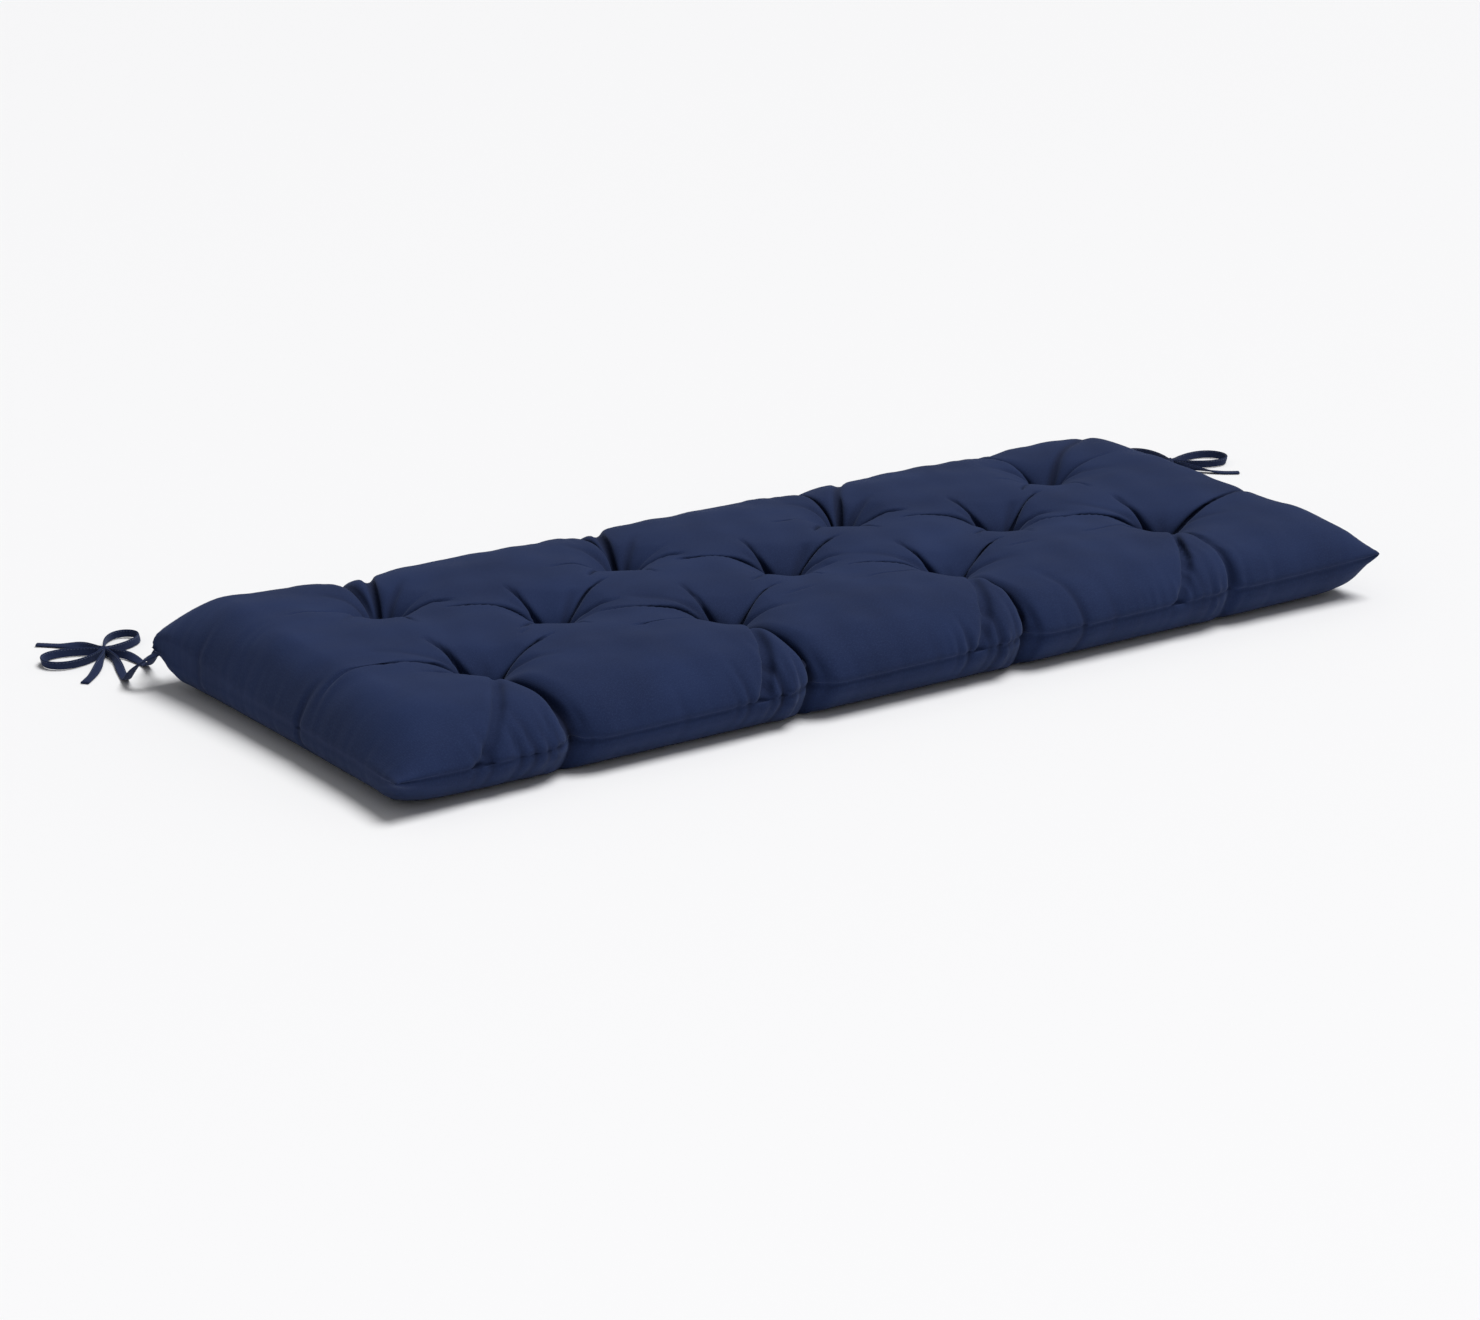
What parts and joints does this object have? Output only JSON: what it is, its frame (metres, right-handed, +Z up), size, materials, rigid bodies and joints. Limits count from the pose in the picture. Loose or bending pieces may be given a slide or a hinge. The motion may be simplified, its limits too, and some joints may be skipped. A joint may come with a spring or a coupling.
{
  "type": "bench cushion",
  "caption": "Long flat filled seat cushion with tufts pulled into its top, creased edges and a bow of tie tapes at each back corner",
  "frame": {"origin": "middle of the cushion's flat underside, on the surface that it lies on", "axes": "+X along the cushion's length, as along the bench seen from the front; +Y from its front edge to its back edge, where the ties are; +Z up, through the cushion's thickness"},
  "size_m": [1.4328, 0.6285, 0.0881],
  "materials": {
    "cover": "matte navy plain-woven cloth with a faint sheen",
    "tape": "the same navy cloth, folded and stitched into narrow tapes"
  },
  "bodies": {
    "root": {"cushion": "cover", "tie_left_lead_back": "tape", "tie_left_lead_end": "tape", "tie_left_loop_out": "tape", "tie_left_loop_in": "tape", "tie_left_end_front": "tape", "tie_left_end_back": "tape", "tie_left_knot": "tape", "tie_right_lead_back": "tape", "tie_right_lead_end": "tape", "tie_right_loop_out": "tape", "tie_right_loop_in": "tape", "tie_right_end_front": "tape", "tie_right_end_back": "tape", "tie_right_knot": "tape"}
  },
  "joints": []
}
